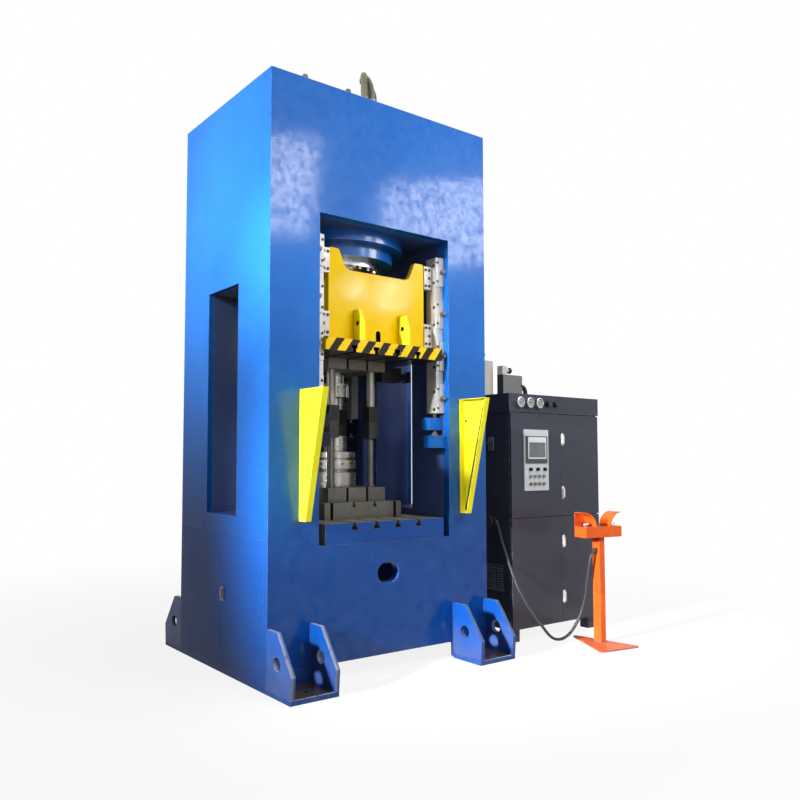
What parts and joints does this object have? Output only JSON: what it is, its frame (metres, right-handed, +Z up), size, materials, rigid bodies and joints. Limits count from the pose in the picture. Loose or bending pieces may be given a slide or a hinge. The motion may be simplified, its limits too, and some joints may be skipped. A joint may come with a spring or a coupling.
{
  "type": "hydraulic forging press",
  "caption": "Box-frame hydraulic forging press with guided ram, T-slotted table, closed die set, tapered guards, control cabinet and two-hand station on a cord.",
  "frame": {"origin": "on the floor at the middle of the four anchor bolt holes, under the press axis", "axes": "+Z up along the ram's travel, -Y towards the operator at the front, +X towards the control cabinet"},
  "size_m": [3.307, 2.1226, 4.317],
  "materials": {
    "blue_paint": "gloss",
    "table_steel": "milled",
    "bright_steel": "ground",
    "chrome": "polished",
    "yellow_paint": "gloss",
    "tool_steel": "oiled",
    "black_steel": "satin",
    "black_plastic": "matte",
    "dark_paint": "satin",
    "panel_paint": "satin",
    "lamp_plastic": "gloss",
    "red_plastic": "gloss",
    "green_plastic": "gloss",
    "grey_plastic": "gloss",
    "beige_paint": "satin",
    "orange_paint": "gloss",
    "rubber": "matte"
  },
  "bodies": {
    "frame": {"frame": "blue_paint", "inner_frame": "blue_paint", "gussets": "blue_paint", "bolster": "table_steel", "main_cylinder": "blue_paint", "gland_ring": "bright_steel", "ejector_cylinder": "blue_paint", "guide_rails": "bright_steel", "guide_pads": "bright_steel", "guide_bolts": "bright_steel", "die_shoe": "tool_steel", "die_bars": "tool_steel", "guide_pillars": "tool_steel", "die_rings": "tool_steel", "guard_left": "yellow_paint", "guard_right": "yellow_paint", "rear_guard": "dark_paint", "hoses": "rubber", "hose_fittings": "black_steel", "cabinet": "dark_paint", "gauges": "chrome", "oil_filter": "beige_paint", "terminal_box": "dark_paint", "power_unit": "dark_paint", "station": "orange_paint", "cord_socket": "black_plastic", "cord": "rubber"},
    "ram": {"ram": "yellow_paint", "ram_lugs": "yellow_paint", "slide_plate": "yellow_paint", "ram_shoes": "bright_steel", "upper_bars": "tool_steel", "guide_sleeves": "tool_steel", "punch": "tool_steel", "side_cylinder": "black_steel", "piston_rod": "chrome"},
    "ejector": {"ejector_rod": "chrome"},
    "base_door_front": {"base_door_lf": "blue_paint", "latch_left": "bright_steel"},
    "base_door_rear": {"base_door_lr": "blue_paint"},
    "cabinet_door_ul": {"cab_door_ul": "dark_paint", "operator_panel": "panel_paint", "screen_unit": "black_plastic", "lamps": "lamp_plastic"},
    "cabinet_door_ur": {"cab_door_ur": "dark_paint", "handles_upper": "chrome"},
    "cabinet_door_ll": {"cab_door_ll": "dark_paint"},
    "cabinet_door_lr": {"cab_door_lr": "dark_paint", "handles_lower": "chrome"},
    "button_red": {"button_red": "red_plastic"},
    "button_green": {"button_green": "green_plastic"},
    "button_a": {"button_a": "grey_plastic"},
    "button_b": {"button_b": "grey_plastic"},
    "selector_a": {"selector_a": "black_plastic"},
    "selector_b": {"selector_b": "black_plastic"},
    "selector_c": {"selector_c": "black_plastic"},
    "knob_a": {"knob_a": "black_plastic"},
    "knob_b": {"knob_b": "black_plastic"},
    "palm_left": {"palm_left": "chrome"},
    "palm_right": {"palm_right": "chrome"}
  },
  "joints": [
    {"name": "ram_slide", "type": "slide", "parent": "frame", "child": "ram", "axis": [0, 0, -1], "range_m": [0, 0.28]},
    {"name": "ejector_slide", "type": "slide", "parent": "frame", "child": "ejector", "axis": [0, 0, 1], "range_m": [0, 0.1]},
    {"name": "base_door_front_hinge", "type": "hinge", "parent": "frame", "child": "base_door_front", "pos_m": [-0.945, -0.578, 0.48], "axis": [0, 0, 1], "range_deg": [0, 100]},
    {"name": "base_door_rear_hinge", "type": "hinge", "parent": "frame", "child": "base_door_rear", "pos_m": [-0.945, 0.578, 0.48], "axis": [0, 0, -1], "range_deg": [0, 100]},
    {"name": "cabinet_door_ul_hinge", "type": "hinge", "parent": "frame", "child": "cabinet_door_ul", "pos_m": [1.252, -0.61, 1.375], "axis": [0, 0, -1], "range_deg": [0, 24]},
    {"name": "cabinet_door_ll_hinge", "type": "hinge", "parent": "frame", "child": "cabinet_door_ll", "pos_m": [1.252, -0.61, 0.53], "axis": [0, 0, -1], "range_deg": [0, 18]},
    {"name": "cabinet_door_ur_hinge", "type": "hinge", "parent": "frame", "child": "cabinet_door_ur", "pos_m": [2.338, -0.61, 1.375], "axis": [0, 0, 1], "range_deg": [0, 30]},
    {"name": "cabinet_door_lr_hinge", "type": "hinge", "parent": "frame", "child": "cabinet_door_lr", "pos_m": [2.338, -0.61, 0.53], "axis": [0, 0, 1], "range_deg": [0, 30]},
    {"name": "button_red_press", "type": "slide", "parent": "cabinet_door_ul", "child": "button_red", "axis": [0, 1, 0], "range_m": [0, 0.004], "stiffness_N_per_m": 600, "springref_m": -0.002},
    {"name": "button_green_press", "type": "slide", "parent": "cabinet_door_ul", "child": "button_green", "axis": [0, 1, 0], "range_m": [0, 0.004], "stiffness_N_per_m": 600, "springref_m": -0.002},
    {"name": "button_a_press", "type": "slide", "parent": "cabinet_door_ul", "child": "button_a", "axis": [0, 1, 0], "range_m": [0, 0.004], "stiffness_N_per_m": 600, "springref_m": -0.002},
    {"name": "button_b_press", "type": "slide", "parent": "cabinet_door_ul", "child": "button_b", "axis": [0, 1, 0], "range_m": [0, 0.004], "stiffness_N_per_m": 600, "springref_m": -0.002},
    {"name": "selector_a_turn", "type": "hinge", "parent": "cabinet_door_ul", "child": "selector_a", "pos_m": [1.452, -0.622, 1.342], "axis": [0, -1, 0], "range_deg": [-45, 45]},
    {"name": "selector_b_turn", "type": "hinge", "parent": "cabinet_door_ul", "child": "selector_b", "pos_m": [1.536, -0.622, 1.342], "axis": [0, -1, 0], "range_deg": [-45, 45]},
    {"name": "selector_c_turn", "type": "hinge", "parent": "cabinet_door_ul", "child": "selector_c", "pos_m": [1.62, -0.622, 1.342], "axis": [0, -1, 0], "range_deg": [-45, 45]},
    {"name": "knob_a_turn", "type": "hinge", "parent": "frame", "child": "knob_a", "pos_m": [1.681, -0.612, 1.872], "axis": [0, -1, 0], "continuous": true},
    {"name": "knob_b_turn", "type": "hinge", "parent": "frame", "child": "knob_b", "pos_m": [1.777, -0.612, 1.872], "axis": [0, -1, 0], "continuous": true},
    {"name": "palm_left_press", "type": "slide", "parent": "frame", "child": "palm_left", "axis": [0, 0, -1], "range_m": [0, 0.008], "stiffness_N_per_m": 1500, "springref_m": -0.004},
    {"name": "palm_right_press", "type": "slide", "parent": "frame", "child": "palm_right", "axis": [0, 0, -1], "range_m": [0, 0.008], "stiffness_N_per_m": 1500, "springref_m": -0.004}
  ]
}
